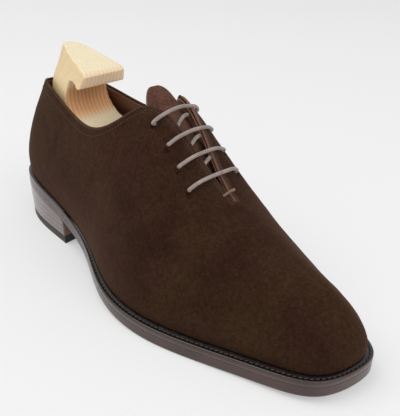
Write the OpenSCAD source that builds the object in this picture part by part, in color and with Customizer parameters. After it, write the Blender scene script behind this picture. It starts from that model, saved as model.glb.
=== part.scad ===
// Right wholecut oxford shoe in suede with a welted leather sole and its lasted shoe tree.
// +X runs to the toe, +Y to the medial side, +Z up; the shoe stands on z = 0.

/* [Last] */
// Length of the last from heel curve to toe tip
last_l = 288; // [280:1:296]
// Distance of the heel curve in front of the back of the sole
last_x = 6; // [5:0.5:7]
// Widening of the last on the medial side
medial_add = 0; // [0:0.5:2]
// Widening of the last on the lateral side
lateral_add = 0; // [0:0.5:2]

/* [Upper] */
// Thickness of the suede
suede_t = 1.6; // [1.4:0.1:1.7]
// Thickness of the lining leather
lining_t = 1.0; // [0.8:0.1:1.1]
// Thickness of the heel counter and the toe puff
stiffener_t = 1.2; // [0.8:0.1:1.3]
// Thickness of the tongue leather
tongue_t = 1.5; // [1.2:0.1:1.6]
// Width of the margin lasted under the insole
margin_w = 9; // [7:0.5:9]
// Radius of each lace hole
lace_hole_r = 1.9; // [1.8:0.1:2.0]
// Radius of the round waxed lace
lace_r = 1.25; // [1.1:0.05:1.25]

/* [Sole] */
// Thickness of the welt
welt_t = 3.6; // [3:0.1:3.6]
// Thickness of the rubber top piece
top_piece_t = 6; // [5:0.5:6]
// Thickness of each full heel lift
lift_t = 4.1; // [3.5:0.1:4.1]
// Inset of the heel's sides at each lift
lift_step = 0.3; // [0.1:0.1:0.4]
// Thickness of the insole
insole_t = 2.7; // [2.4:0.1:2.7]
// Width of the steel shank
shank_w = 14; // [12:1:16]
// Thickness of the steel shank
shank_t = 1.4; // [1:0.1:1.5]

/* [Shoe tree] */
// Height of the hinge axis above the ground
hinge_z = 46; // [45:1:47]
// Distance of the hinge axis from the back of the sole
hinge_x = 112; // [111:1:113]
// Radius of the round joint between the two wooden parts
knuckle_r = 15; // [14:0.5:15]
// Radius of the hinge pin
pin_r = 3; // [2.5:0.5:3]
// Radial clearance of the hinge pin in its plate
pin_play = 0.05; // [0.03:0.01:0.08]
// Thickness of the steel hinge plate
plate_t = 4; // [3:0.5:4]

/* [Hidden] */
$fn = 32;

suede = [0.25, 0.15, 0.10];
lining_tan = [0.50, 0.27, 0.16];
sole_brown = [0.30, 0.19, 0.16];
veg_tan = [0.72, 0.52, 0.34];
board = [0.62, 0.50, 0.36];
black = [0.08, 0.07, 0.07];
steel = [0.62, 0.63, 0.65];
brass = [0.75, 0.60, 0.30];
cork = [0.66, 0.47, 0.28];
beech = [0.88, 0.74, 0.52];
taupe = [0.45, 0.39, 0.36];

// --- the last: ribs from heel (0) round the medial side to the toe (12) and back ---
RIBS = 12;
ORIGIN = [150.6, -7.4, 0];   // centre of the sole's outline, where the frame's origin lies
module placed() translate(-ORIGIN) children();
GAP = 0.15;            // air between stacked sole pieces
LAYER = 0.1;           // air between the leathers of the upper
// Half-widths of the feather line
medial_y = [0, 17, 27.5, 31, 29, 27, 32, 41, 41, 31, 20.5, 13, 4];
lateral_y = [0, 18.5, 27, 32, 33.5, 37.5, 55.5, 57, 46, 35.5, 29.5, 22, -4];
// Height of the feather line above the ground
feather_z = [36, 36, 35.5, 34, 28.5, 18.5, 12.2, 10.8, 10.8, 11.8, 13.5, 15, 15.5];
// Height of the outsole's underside above the ground
ground_z = [26.7, 26.7, 26.2, 24.7, 19.2, 9.2, 2.7, 0, 0, 1, 2.7, 4.2, 4.7];
// Overhang of the welt and the outsole beyond the feather line
welt_w = [2.2, 2.2, 2.1, 2, 1.6, 2.2, 4.5, 5.5, 5.5, 5.5, 5.5, 4.5, 3];
// Topline, lacing edge and ridge
top_x = [17, 25.5, 46, 75.5, 106.5, 130.5, 143, 160.5, 180.5, 203, 228.5, 252.5, 273.5];
top_y = [0, 11, 19, 24.5, 29, 25.5, 12.5, 9, 4.5, 0, 0, 0, 0];
top_z = [97.5, 101.5, 102, 95, 88.5, 103, 117, 112, 89.5, 69.5, 58.5, 52, 45];
ridge_y = -1;
// How far the walls bulge and rise near the feather line, and lean near the top edge
low_out = [4, 4.2, 4.2, 4.2, 7.2, 7.2, 5.2, 4.2, 3.2, 2.5, 2.2, 1.7, 1.5];
low_up = [22, 22, 24, 26, 28, 30, 28, 26, 24, 22, 20, 17, 15];
high_out_m = [8, 7.5, 6, 4.5, 4.5, 8, 13, 16, 15.5, 15, 15, 15, 16];
high_out_l = [8, 10, 7.5, 6, 6, 10.5, 16.5, 21.5, 22, 22.5, 22.5, 21, 16];
high_down = [24, 24, 24, 24, 24, 22, 20, 12, 8, 5, 3, 1, 0];
SHAPE = 0.34;          // width to length of the ellipse that gives each rib its direction

function around(a, b) = concat(a, [for (i = [RIBS - 1:-1:1]) b[i]]);
function spline(c, t) = let (n = len(c), i = floor(t), f = t - i,
    a = c[(i - 1 + n) % n], b = c[(i + n) % n], d = c[(i + 1 + n) % n], e = c[(i + 2 + n) % n])
    (pow(1 - f, 3) * a + (3 * pow(f, 3) - 6 * f * f + 4) * b
    + (-3 * pow(f, 3) + 3 * f * f + 3 * f + 1) * d + pow(f, 3) * e) / 6;
function unit(v) = v / norm(v);
function reversed(v) = [for (i = [len(v) - 1:-1:0]) v[i]];
function rib_x(i) = last_x + last_l * (1 - cos(180 * i / RIBS)) / 2;
function rib_dir(i, side) = unit([-SHAPE * cos(180 * i / RIBS), side * sin(180 * i / RIBS), 0]);
function med(i) = medial_y[i] + medial_add * sin(180 * i / RIBS);
function lat(i) = lateral_y[i] + lateral_add * sin(180 * i / RIBS);
function lean(i) = ridge_y * max(0, min(1, (top_x[i] - 60) / 200));
function foot(i, side) = [rib_x(i), side > 0 ? med(i) : -lat(i), feather_z[i]];
function peak(i, side) = [top_x[i], lean(i) + side * top_y[i], top_z[i]];
function low(i, side) = foot(i, side) + rib_dir(i, side) * low_out[i] + [0, 0, low_up[i]];
function high(i, side) = peak(i, side) - [0, 0, high_down[i]]
    + rib_dir(i, side) * (side > 0 ? high_out_m[i] : high_out_l[i]);
ALL = [0:RIBS];
FOOT = around([for (i = ALL) foot(i, 1)], [for (i = ALL) foot(i, -1)]);
LOW = around([for (i = ALL) low(i, 1)], [for (i = ALL) low(i, -1)]);
HIGH = around([for (i = ALL) high(i, 1)], [for (i = ALL) high(i, -1)]);
PEAK = around([for (i = ALL) peak(i, 1)], [for (i = ALL) peak(i, -1)]);
FEATHER = around(feather_z, feather_z);
GROUND = around(ground_z, ground_z);
WELT = around(welt_w, welt_w);

// Point of the last's surface: t counts ribs round the shoe, u runs from feather line to top
function skin(t, u) = pow(1 - u, 3) * spline(FOOT, t) + 3 * u * pow(1 - u, 2) * spline(LOW, t)
    + 3 * u * u * (1 - u) * spline(HIGH, t) + pow(u, 3) * spline(PEAK, t);
EPS = 0.02;
function normal(t, u) = let (v = max(EPS, min(1 - EPS, u)))
    unit(cross(skin(t, v + EPS) - skin(t, v - EPS), skin(t + EPS, v) - skin(t - EPS, v)));
// From the throat (rib 9) to the toe both sides meet along the ridge
ZIP = 9;
function zipped(t) = t >= ZIP && t <= 2 * RIBS - ZIP;
function inside(t, u, d) = zipped(t) && u == 1
    ? (skin(t, 1) + skin(2 * RIBS - t, 1)) / 2 - d * unit(normal(t, 1) + normal(2 * RIBS - t, 1))
    : skin(t, u) - d * normal(t, u);

// Heights of the sole's layers depend on x alone
MID = last_x + last_l / 2;
SPAN = last_l / 2 * (2 + cos(180 / RIBS)) / 3;
function rib_at(x) = acos(max(-1, min(1, (MID - x) / SPAN))) * RIBS / 180;
function feather(x) = spline(FEATHER, rib_at(x));
function ground(x) = spline(GROUND, rib_at(x));

// Plan outline at an offset from the feather line; deep insets also shrink to the middle
DEEP = 6;
function edge(t, d) = let (a = spline(FOOT, t - EPS), b = spline(FOOT, t + EPS),
    s = unit([b[0] - a[0], b[1] - a[1]]), p = spline(FOOT, t), k = max(d, -DEEP),
    q = [p[0] - s[1] * k, p[1] + s[0] * k], m = (p[1] + spline(FOOT, 2 * RIBS - t)[1]) / 2,
    r = min(0, d + DEEP))
    [MID + (q[0] - MID) * (1 + r / MID), m + (q[1] - m) * (1 + r / 40)];
function at_layer(p, dz) = [p[0], p[1], feather(p[0]) + dz];

// Solid swept through closed sections that all have the same number of points. The second half
// of each section runs back along the first, so its panels are split along the same diagonals.
function quad(a, b, c, d) = [[a, b, c], [a, c, d]];
module sections(cols, closed = false, top = -1, zip = [-1, -1]) {
    n = len(cols);
    m = len(cols[0]);
    twin = closed ? n : n - 1;
    function joined(j) = j >= zip[0] && j <= zip[1];
    function id(j, i) = let (jj = j % n, ii = i % m)
        (joined(jj) && jj > twin / 2 && (ii == top || ii == top + 1) ? twin - jj : jj) * m + ii;
    last = closed ? n - 1 : n - 2;
    walls = [for (j = [0:last]) for (i = [0:m - 1]) if (!(i == top && joined(j) && joined(j + 1)))
        each i < m / 2 ? quad(id(j, i), id(j + 1, i), id(j + 1, i + 1), id(j, i + 1))
            : quad(id(j + 1, i), id(j + 1, i + 1), id(j, i + 1), id(j, i))];
    caps = closed ? [] : [for (i = [0:m / 2 - 2])
        each concat(quad(i, i + 1, m - 2 - i, m - 1 - i),
            quad(id(n - 1, m - 1 - i), id(n - 1, m - 2 - i), id(n - 1, i + 1), id(n - 1, i)))];
    polyhedron([for (c = cols) each c], concat(walls, caps), convexity = 8);
}

// Shell of the last between two depths over part of the surface
function shell_column(t, us, d_out, d_in) = concat([for (u = us) inside(t, u, d_out)],
    [for (u = reversed(us)) inside(t, u, d_in)]);
module patch(ts, us, d_out, d_in) sections([for (t = ts) shell_column(t, us, d_out, d_in)]);

COLUMNS = 72;
function col_t(j) = j * 2 * RIBS / COLUMNS;
WALL_U = [0.05, 0.14, 0.27, 0.42, 0.57, 0.72, 0.84, 0.93, 1];
// Smooth step from 0 at a to 1 at b
function rise(x, a, b) = let (k = max(0, min(1, (x - a) / (b - a)))) k * k * (3 - 2 * k);
function from_heel(t) = min(t, 2 * RIBS - t);
// Extra depth of the lining where a stiffener or a facing stay lies behind it
function stiffener_room(t, u) = max(
    (1 - rise(from_heel(t), 3.7, 4.6)) * (1 - rise(u, 0.6, 0.84)), rise(from_heel(t), 9.3, 9.9));
STAY_T = 0.5;
function stay_room(t, u) = rise(from_heel(t), 5.6, 6) * (1 - rise(from_heel(t), 8.7, 9.2))
    * rise(u, 0.57, 0.72);
HIDDEN_D = suede_t + LAYER;
function lining_d(t, u) = HIDDEN_D + (stiffener_t + LAYER) * stiffener_room(t, u)
    + (STAY_T + LAYER) * stay_room(t, u);

// One leather of the upper: its wall and the margin lasted under the insole
ZIP_COLUMNS = [ZIP * COLUMNS / (2 * RIBS), COLUMNS - ZIP * COLUMNS / (2 * RIBS)];
function wall_d(t, u, lined) = lined ? lining_d(t, u) : 0;
function margin(t, d_out, d_in, below, above) = concat(
    [at_layer(edge(t, -d_in), above), at_layer(edge(t, -margin_w), above)],
    [at_layer(edge(t, -margin_w), below), at_layer(edge(t, -d_out), below)]);
module upper_leather(lined, thick, below, above) {
    outer_d = lined ? HIDDEN_D : 0;
    sections([for (j = [0:COLUMNS - 1]) let (t = col_t(j),
        turn = margin(t, outer_d + 0.1, outer_d + thick + 0.2, below, above))
        concat([turn[2], turn[3]], lined ? [] : [skin(t, 0)],
            [for (u = WALL_U) inside(t, u, wall_d(t, u, lined))],
            [for (u = reversed(WALL_U)) inside(t, u, wall_d(t, u, lined) + thick)],
            [turn[0], turn[1]])],
        closed = true, top = (lined ? 1 : 2) + len(WALL_U), zip = ZIP_COLUMNS);
}

// Four pairs of lace holes, as rib and height on the surface, the same on both sides
HOLES = [[6.6, 0.905], [7.2, 0.855], [7.6, 0.815], [7.95, 0.76]];
module at_holes() {
    for (h = HOLES) for (t = [h[0], 2 * RIBS - h[0]]) {
        n = normal(t, h[1]);
        translate(skin(t, h[1])) rotate([0, acos(n[2]), atan2(n[1], n[0])]) children();
    }
}
module drilled(r) {
    resize([0, 0, 0]) difference() {
        children();
        at_holes() cylinder(r = r, h = 14, center = true, $fn = 12);
    }
}

module upper() color(suede) placed() drilled(lace_hole_r)
    upper_leather(false, suede_t, -0.5, 0.9);
module upper_lining() color(lining_tan) placed() drilled(lace_hole_r)
    upper_leather(true, lining_t, 1, 1.9);

// Stiffeners between the two leathers, on the same columns as the leathers
function steps(a, b, n) = [for (i = [0:n]) a + (b - a) * i / n];
function columns(a, b) = [for (j = [a:b]) col_t(j)];
function some(v, a, b) = [for (i = [a:b]) v[i]];
module heel_counter() color(veg_tan) placed()
    patch(columns(61, 83), some(WALL_U, 0, 4), HIDDEN_D, HIDDEN_D + stiffener_t);
PUFF_TS = columns(30, 42);
module toe_puff() color(veg_tan) placed()
    sections([for (t = PUFF_TS) shell_column(t, some(WALL_U, 1, 8), HIDDEN_D, HIDDEN_D + stiffener_t)],
        top = 7, zip = [0, len(PUFF_TS) - 1]);
EYELET_R = 2.9;
module facing_stays() color(veg_tan) placed() for (a = [[19, 25], [47, 53]])
    resize([0, 0, 0]) difference() {
        patch(columns(a[0], a[1]), some(WALL_U, 5, 7), HIDDEN_D, HIDDEN_D + STAY_T);
        at_holes() cylinder(r = EYELET_R + 0.2, h = 14, center = true, $fn = 16);
    }
module hidden_eyelets() color(brass) placed() at_holes() translate([0, 0, -HIDDEN_D - STAY_T])
    difference() {
        cylinder(r = EYELET_R, h = STAY_T, $fn = 24);
        translate([0, 0, -1]) cylinder(r = lace_hole_r, h = 3, $fn = 24);
    }

// Round cord swept along points
function frame_y(d) = unit(cross(abs(d[2]) > 0.9 ? [1, 0, 0] : [0, 0, 1], d));
module tube(path, r, sides = 8) {
    n = len(path);
    sections([for (j = [0:n - 1]) let (d = unit(path[min(j + 1, n - 1)] - path[max(j - 1, 0)]),
        a = frame_y(d), b = cross(d, a))
        [for (i = [0:sides - 1]) path[j] + r * (cos(-360 * i / sides) * a + sin(-360 * i / sides) * b)]]);
}
module topline_binding() color(suede) placed()
    tube([for (t = steps(18.2, 29.8, 46)) inside(t, 1, 1.35) + [0, 0, 0.95]], 0.9, 6);
module bar_tack() color(suede) placed()
    tube([for (y = [-5:2.5:3]) [199 - 0.04 * y * y, y, 75.6 - 0.05 * y * y]], 0.6, 6);

// Tongue: a strip under the lacing edges that runs on past them in a round lobe
TONGUE_U = [0.64, 0.71, 0.78, 0.85, 0.92];
TONGUE_TOP = 6.9;      // rib position where the lobe starts
TONGUE_END = 9;        // rib position of its front end under the vamp
TONGUE_D = 8.2;        // depth of its face at the sides
RIDGE_LIFT = 3.7;      // how much nearer to the surface it lies along the middle
LOBE_L = 26;
LOBE_DIR = [-0.85, 0, 0.53];
RIDGE_NORMAL = [0.6, 0, 0.8];
function strip(t, d) = concat([for (u = TONGUE_U) inside(t, u, d)],
    [(skin(t, 1) + skin(2 * RIBS - t, 1)) / 2 - (d - RIDGE_LIFT) * RIDGE_NORMAL],
    [for (u = reversed(TONGUE_U)) inside(2 * RIBS - t, u, d)]);
function lobe(k, d) = let (row = strip(TONGUE_TOP, d), n = len(TONGUE_U))
    [for (i = [0:2 * n]) row[i] + LOBE_DIR * LOBE_L * k * sqrt(1 - pow(abs(i / n - 1), 5))];
module tongue_layer(d, t) {
    rows = concat([for (k = [1, 0.75, 0.5, 0.25]) [lobe(k, d), lobe(k, d + t)]],
        [for (a = steps(TONGUE_TOP, TONGUE_END, 8)) [strip(a, d), strip(a, d + t)]]);
    sections([for (r = rows) concat(r[0], reversed(r[1]))]);
}
module tongue() color(suede) placed() tongue_layer(TONGUE_D, tongue_t);
module tongue_lining() color(lining_tan) placed()
    tongue_layer(TONGUE_D + tongue_t + GAP, 0.8);

// Lace: one cord threaded in straight bars, from the bottom pair to the top pair
LACE = [[174.5, 28.8, 51], [180, 28, 58], [183, 25, 63], [185, 21, 68], [185, 17, 72],
    [184, 14, 76], [186.5, 15.5, 78.5], [187.5, 16.5, 80], [188.5, 12.5, 82.5], [189.5, 6, 83.5],
    [190, -1, 84], [189.5, -8.5, 83.5], [189, -15, 82.5], [188, -21, 80], [187, -20.5, 78.5],
    [184.5, -19, 76], [180.5, -1.5, 88.5], [174, 12.5, 86],
    [176, 14.5, 88.5], [177.5, 15.5, 90], [178.5, 8.5, 93], [179.5, -1, 94], [179, -11, 93],
    [178, -19.5, 90], [176.5, -18.5, 88.5], [174, -17, 86], [170.5, -1.5, 98.5], [164.5, 12, 96],
    [166.5, 14, 98.5], [167.5, 15, 99.5], [168.5, 10, 102.5], [169.5, -1, 104], [169, -12, 102.5],
    [168, -18.5, 99.5], [166.5, -17.5, 98.5], [164.5, -16, 96], [159.5, -1.5, 108], [153, 11.5, 105.5],
    [154.5, 14.5, 107], [155, 16, 108.5], [156.5, 11, 112], [157, -1, 114], [156.5, -13, 112],
    [155, -19, 108.5], [154.5, -17.5, 107], [153, -15, 104.5],
    [157, -19.5, 97], [161, -25, 88], [166.5, -30, 77.5], [172.5, -34.2, 67]];
AGLET_L = 16;
module lace() color(taupe) placed() tube(LACE, lace_r);
module aglet_at(p, q) {
    d = unit(p - q);
    translate(p) rotate([0, acos(d[2]), atan2(d[1], d[0])]) difference() {
        cylinder(r = lace_r + 0.25, h = AGLET_L);
        translate([0, 0, -1]) cylinder(r = lace_r, h = AGLET_L - 1);
    }
}
module aglets() color(taupe) placed() {
    aglet_at(LACE[0], LACE[1]);
    aglet_at(LACE[len(LACE) - 1], LACE[len(LACE) - 2]);
}

// --- sole pieces: plates and rings between the outlines of both sides ---
END_TS = [0.04, 0.14, 0.3, 0.5, 0.75];
STATIONS = concat(END_TS, [for (i = [3:33]) i / 3],
    [for (i = [len(END_TS) - 1:-1:0]) RIBS - END_TS[i]]);
module plate(ts, d, low_dz, high_dz) {
    sections([for (t = ts) let (l = edge(t, d), r = edge(2 * RIBS - t, d))
        [at_layer(l, low_dz), at_layer(l, high_dz), at_layer(r, high_dz), at_layer(r, low_dz)]]);
}
module ring(ts, outer, inner, low_dz, high_dz) {
    sections([for (t = ts) let (o = edge(t, outer(t)), i = edge(t, inner))
        [at_layer(o, low_dz), at_layer(o, high_dz), at_layer(i, high_dz), at_layer(i, low_dz)]]);
}
BREAST_T = 3.93;       // rib position of the heel breast
WELT_TOP = -0.6;
WELT_LOW = WELT_TOP - welt_t;
SOLE_TOP = WELT_LOW - GAP;
FRONT_TS = steps(BREAST_T + 0.1, 2 * RIBS - BREAST_T - 0.1, 66);
BACK_TS = steps(2 * RIBS - BREAST_T, 2 * RIBS + BREAST_T, 30);
function overhang(t) = spline(WELT, t);
module welt() color(sole_brown) placed()
    ring(FRONT_TS, function(t) overhang(t), -6.5, WELT_LOW, WELT_TOP);
module heel_rand() color(sole_brown) placed()
    ring(BACK_TS, function(t) overhang(t), -7, WELT_LOW, WELT_TOP);
module welt_thread() color(black) placed()
    tube([for (t = steps(4.6, 19.4, 60)) at_layer(edge(t, overhang(t) * 0.55), WELT_TOP + 0.1)], 0.4, 6);
module insole_rib() color(board) placed()
    ring(FRONT_TS, function(t) -margin_w - 0.5, -margin_w - 2.5, SOLE_TOP + GAP, 1.8);
INSOLE_LOW = 2.05;
module insole() color(veg_tan) placed() plate(STATIONS, -4.6, INSOLE_LOW, INSOLE_LOW + insole_t);
module sock_lining() color(lining_tan) placed()
    plate(STATIONS, -5, INSOLE_LOW + insole_t + LAYER, INSOLE_LOW + insole_t + 0.9);
module cork_filler() color(cork) placed()
    plate(steps(6.2, 11.7, 16), -margin_w - 3.2, SOLE_TOP + GAP, 1.8);
module shank() color(steel) placed() {
    x = [50:10:150];
    sections([for (a = x) [[a, shank_w / 2, feather(a)], [a, shank_w / 2, feather(a) + shank_t],
        [a, -shank_w / 2, feather(a) + shank_t], [a, -shank_w / 2, feather(a)]]]);
}
module outsole() color(sole_brown) placed() sections([for (t = STATIONS)
    let (l = edge(t, overhang(t)), r = edge(2 * RIBS - t, overhang(t)))
    [[l[0], l[1], ground(l[0])], at_layer(l, SOLE_TOP),
        at_layer(r, SOLE_TOP), [r[0], r[1], ground(r[0])]]]);

// Heel stack: top piece, three full lifts and a wedge that fills up to the outsole
HEEL_TS = steps(-BREAST_T, BREAST_T, 28);
BREAST_HOLLOW = 2;
function heel_outline(inset) = concat(
    [for (t = HEEL_TS) edge((t + 2 * RIBS) % (2 * RIBS), overhang(from_heel(abs(t))) - inset)],
    let (a = edge(BREAST_T, 0)) [for (s = [0.6, 0, -0.6])
        [a[0] - BREAST_HOLLOW * (1 - s * s), s * a[1]]]);
module heel_layer(n, z, h) color(n == 0 ? black : veg_tan) placed()
    translate([0, 0, z]) linear_extrude(h) polygon(heel_outline((5 - n) * lift_step));
function lift_z(n) = top_piece_t + 0.05 + (n - 1) * (lift_t + 0.05);
module top_piece() heel_layer(0, 0, top_piece_t);
module heel_lift_1() heel_layer(1, lift_z(1), lift_t);
module heel_lift_2() heel_layer(2, lift_z(2), lift_t);
module heel_lift_3() heel_layer(3, lift_z(3), lift_t);
WEDGE_Z = lift_z(4);
module heel_lift_4() color(veg_tan) placed() sections([for (t = concat(END_TS, steps(1, BREAST_T, 12)))
    let (l = edge(t, overhang(t) - lift_step), r = edge(2 * RIBS - t, overhang(t) - lift_step))
    [[l[0], l[1], WEDGE_Z], [l[0], l[1], ground(l[0]) - GAP], [r[0], r[1], ground(r[0]) - GAP],
        [r[0], r[1], WEDGE_Z]]]);
NAILS = [[16, 0], [24, 14], [24, -14], [42, 19], [42, -20], [62, 20], [62, -22]];
module heel_nails() color(brass) placed() for (p = NAILS)
    translate([p[0], p[1], 1.5]) cylinder(r = 0.9, h = 30, $fn = 12);

// --- lasted shoe tree: heel block folds up on a pin in the forepart's steel plate ---
TREE_GAP = 8;          // depth of the forepart's sides below the surface of the upper
SOCK_TOP = INSOLE_LOW + insole_t + 0.9;
module side_cut(points, half) {
    translate([0, half, 0]) rotate([90, 0, 0]) linear_extrude(2 * half) polygon(points);
}
function arc(cx, cz, r, a, b, n) = [for (g = steps(a, b, n)) [cx + r * cos(g), cz + r * sin(g)]];
module across(p, r, half) translate([p[0], half, p[1]]) rotate([90, 0, 0])
    cylinder(r = r, h = 2 * half);
HINGE = [hinge_x, hinge_z];
SCREWS = [HINGE + [26, -2], HINGE + [40, -5]];
SCREW_R = 2;
SLOT_W = plate_t + 0.6;
EYE_R = 8;

FORE_U = [0.2, 0.35, 0.5, 0.65, 0.8, 0.92];
function tree_d(u) = TREE_GAP + 4 * rise(u, 0.3, 0.8);
FORE_TS = concat([4.4], steps(5, 11, 12), [11.4]);
module forepart_blank() sections([for (t = FORE_TS)
    concat([at_layer(edge(t, -TREE_GAP), SOCK_TOP + 0.6)],
        [for (u = FORE_U) inside(t, u, tree_d(u))],
        [for (u = reversed(FORE_U)) inside(2 * RIBS - t, u, tree_d(u))],
        [at_layer(edge(2 * RIBS - t, -TREE_GAP), SOCK_TOP + 0.6)])]);
FORE_SIDE = concat(arc(hinge_x, hinge_z, knuckle_r + 0.7, -100, 60, 12),
    [[150, 78], [168, 86], [210, 66], [300, 40], [300, 5], [hinge_x - 3, 5]]);
module tree_forepart() color(beech) placed() resize([0, 0, 0]) difference() {
    intersection() {
        forepart_blank();
        side_cut(FORE_SIDE, 70);
    }
    translate([hinge_x - 20, -SLOT_W / 2, 0]) cube([72, SLOT_W, 120]);
    for (p = SCREWS) across(p, SCREW_R + 0.05, 20);
}

COLLAR_GAP = 4.6;      // from the topline's outer edge to the wood
BLOCK_END = 4.6;       // rib position of the block's front corners
BLOCK_TS = steps(-BLOCK_END, BLOCK_END, 24);
function collar(t) = let (s = (t + 2 * RIBS) % (2 * RIBS), n = normal(s, 0.98), p = skin(s, 1),
    q = unit([n[0], n[1]])) [p[0] - COLLAR_GAP * q[0], p[1] - COLLAR_GAP * q[1]];
// Handle outline: narrow and round at the back, wide at the front
function handle(t) = let (k = abs(t) / BLOCK_END)
    [44 + 46 * pow(k, 1.7), sign(t) * (5.5 * pow(k, 0.35) + 8 * k)];
function mix(a, b, k) = a + (b - a) * k;
// Height of each outline of the block, and how far it has turned from collar to handle
BLOCK_LEVELS = [[30, 0], [60, 0], [86, 0], [94, 0.03], [101, 0.1], [108, 0.26], [116, 0.55], [132, 1]];
function block_side(t) = [for (k = BLOCK_LEVELS) let (q = mix(collar(t), handle(t), k[1]))
    [q[0], q[1], k[0]]];
BLOCK_AXIS = [for (p = block_side(BLOCK_END)) [p[0], 0, p[2]]];
module block_blank() sections([for (t = BLOCK_TS) concat(block_side(t), reversed(BLOCK_AXIS))]);
SCOOP_R = 20;
BLOCK_SIDE = concat([[10, 47], [10, 140], [40, 130], [50, 129], [83, 119.5], [85, 117], [81, 107.5],
    [79, 106.5]], arc(83.5, 101, SCOOP_R, 150, 258, 12), [[98, 80], [104, 75]],
    arc(hinge_x, hinge_z, knuckle_r - 0.5, 130, 250, 8), [[80, 37.5], [52, 42.5], [26, 45.5]]);
module tree_heel_block() color(beech) placed() resize([0, 0, 0]) difference() {
    union() {
        intersection() {
            block_blank();
            side_cut(BLOCK_SIDE, 40);
        }
        across(HINGE, knuckle_r, 18);
    }
    translate([hinge_x - 12, -SLOT_W / 2, 0]) cube([60, SLOT_W, 120]);
    across(HINGE, pin_r, 40);
}
PLATE_SIDE = [HINGE + [0, -6], HINGE + [47, -12], HINGE + [49, 1], HINGE + [0, 6]];
module tree_hinge_plate() color(steel) placed() difference() {
    union() {
        across(HINGE, EYE_R, plate_t / 2);
        side_cut(PLATE_SIDE, plate_t / 2);
    }
    across(HINGE, pin_r + pin_play, 20);
    for (p = SCREWS) across(p, SCREW_R + 0.05, 20);
}
module tree_hinge_pin() color(steel) placed() across(HINGE, pin_r, 17);
module tree_plate_screws() color(brass) placed() for (p = SCREWS) across(p, SCREW_R, 12);

upper();
upper_lining();
heel_counter();
toe_puff();
facing_stays();
hidden_eyelets();
topline_binding();
bar_tack();
tongue();
tongue_lining();
lace();
aglets();
insole();
insole_rib();
sock_lining();
welt();
welt_thread();
heel_rand();
cork_filler();
shank();
outsole();
heel_lift_1();
heel_lift_2();
heel_lift_3();
heel_lift_4();
top_piece();
heel_nails();
tree_forepart();
tree_heel_block();
tree_hinge_plate();
tree_hinge_pin();
tree_plate_screws();
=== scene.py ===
"""The looks of a suede wholecut oxford with its shoe tree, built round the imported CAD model.

Lengths in the shape sections are millimetres in the last's frame, where the back of the sole is at x = 0.
build() turns them into metres in the frame of the CAD model.
"""
import math

import bpy
import numpy as np
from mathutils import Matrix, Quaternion, Vector


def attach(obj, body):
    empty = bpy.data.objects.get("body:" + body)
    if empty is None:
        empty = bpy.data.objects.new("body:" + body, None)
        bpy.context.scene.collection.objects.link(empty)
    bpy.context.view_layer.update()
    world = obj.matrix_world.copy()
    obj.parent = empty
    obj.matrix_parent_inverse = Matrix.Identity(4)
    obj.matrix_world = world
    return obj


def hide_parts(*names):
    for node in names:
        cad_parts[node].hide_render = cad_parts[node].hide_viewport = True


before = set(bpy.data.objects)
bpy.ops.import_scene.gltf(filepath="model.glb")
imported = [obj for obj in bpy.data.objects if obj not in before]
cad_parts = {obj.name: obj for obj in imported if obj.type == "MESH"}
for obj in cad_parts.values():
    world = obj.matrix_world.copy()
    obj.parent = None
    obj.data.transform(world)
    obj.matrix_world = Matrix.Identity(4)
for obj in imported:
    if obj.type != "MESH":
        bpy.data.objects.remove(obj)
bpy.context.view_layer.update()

ORIGIN = np.array([150.6, -7.4, 0.0])   # where the CAD frame's origin lies in the last's frame


def metres(points):
    return (np.asarray(points, float) - ORIGIN) / 1000


# --- camera -----------------------------------------------------------------------------------
AZIMUTH, ELEVATION, ROLL = math.radians(48.0), math.radians(28.6), math.radians(0.56)
LENS, SHIFT = 56.2, (0.068, 0.020)
AIM, DISTANCE = (150.0, 0.0, 40.0), 0.4093
BACK = Vector((math.sin(AZIMUTH) * math.cos(ELEVATION), -math.cos(AZIMUTH) * math.cos(ELEVATION),
               math.sin(ELEVATION)))


def make_camera():
    data = bpy.data.cameras.new("camera")
    data.sensor_width = 36.0
    data.lens = LENS
    data.shift_x, data.shift_y = SHIFT
    data.clip_start = 0.01
    camera = bpy.data.objects.new("camera", data)
    camera.rotation_mode = "QUATERNION"
    camera.rotation_quaternion = Quaternion(BACK, ROLL) @ (-BACK).to_track_quat("-Z", "Y")
    camera.location = Vector(metres(AIM)) + BACK * DISTANCE
    bpy.context.scene.collection.objects.link(camera)
    bpy.context.scene.camera = camera


make_camera()
bpy.context.scene.view_settings.view_transform = "Standard"

# --- the last: ribs from heel (0) round the medial side to the toe (12) and back ---------------
RIBS = 12
LAST_L, LAST_X, SHAPE, RIDGE_Y = 288.0, 6.0, 0.34, -1.0
MEDIAL_Y = [0, 17, 27.5, 31, 29, 27, 32, 41, 41, 31, 20.5, 13, 4]
LATERAL_Y = [0, 18.5, 27, 32, 33.5, 37.5, 55.5, 57, 46, 35.5, 29.5, 22, -4]
FEATHER_Z = [36, 36, 35.5, 34, 28.5, 18.5, 12.2, 10.8, 10.8, 11.8, 13.5, 15, 15.5]
GROUND_Z = [26.7, 26.7, 26.2, 24.7, 19.2, 9.2, 2.7, 0, 0, 1, 2.7, 4.2, 4.7]
WELT_W = [2.2, 2.2, 2.1, 2, 1.6, 2.2, 4.5, 5.5, 5.5, 5.5, 5.5, 4.5, 3]
TOP_X = [17, 25.5, 46, 75.5, 106.5, 130.5, 143, 160.5, 180.5, 203, 228.5, 252.5, 273.5]
TOP_Y = [0, 11, 19, 24.5, 29, 25.5, 12.5, 9, 4.5, 0, 0, 0, 0]
TOP_Z = [97.5, 101.5, 102, 95, 88.5, 103, 117, 112, 89.5, 69.5, 58.5, 52, 45]
LOW_OUT = [4, 4.2, 4.2, 4.2, 7.2, 7.2, 5.2, 4.2, 3.2, 2.5, 2.2, 1.7, 1.5]
LOW_UP = [22, 22, 24, 26, 28, 30, 28, 26, 24, 22, 20, 17, 15]
HIGH_OUT_M = [8, 7.5, 6, 4.5, 4.5, 8, 13, 16, 15.5, 15, 15, 15, 16]
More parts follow.
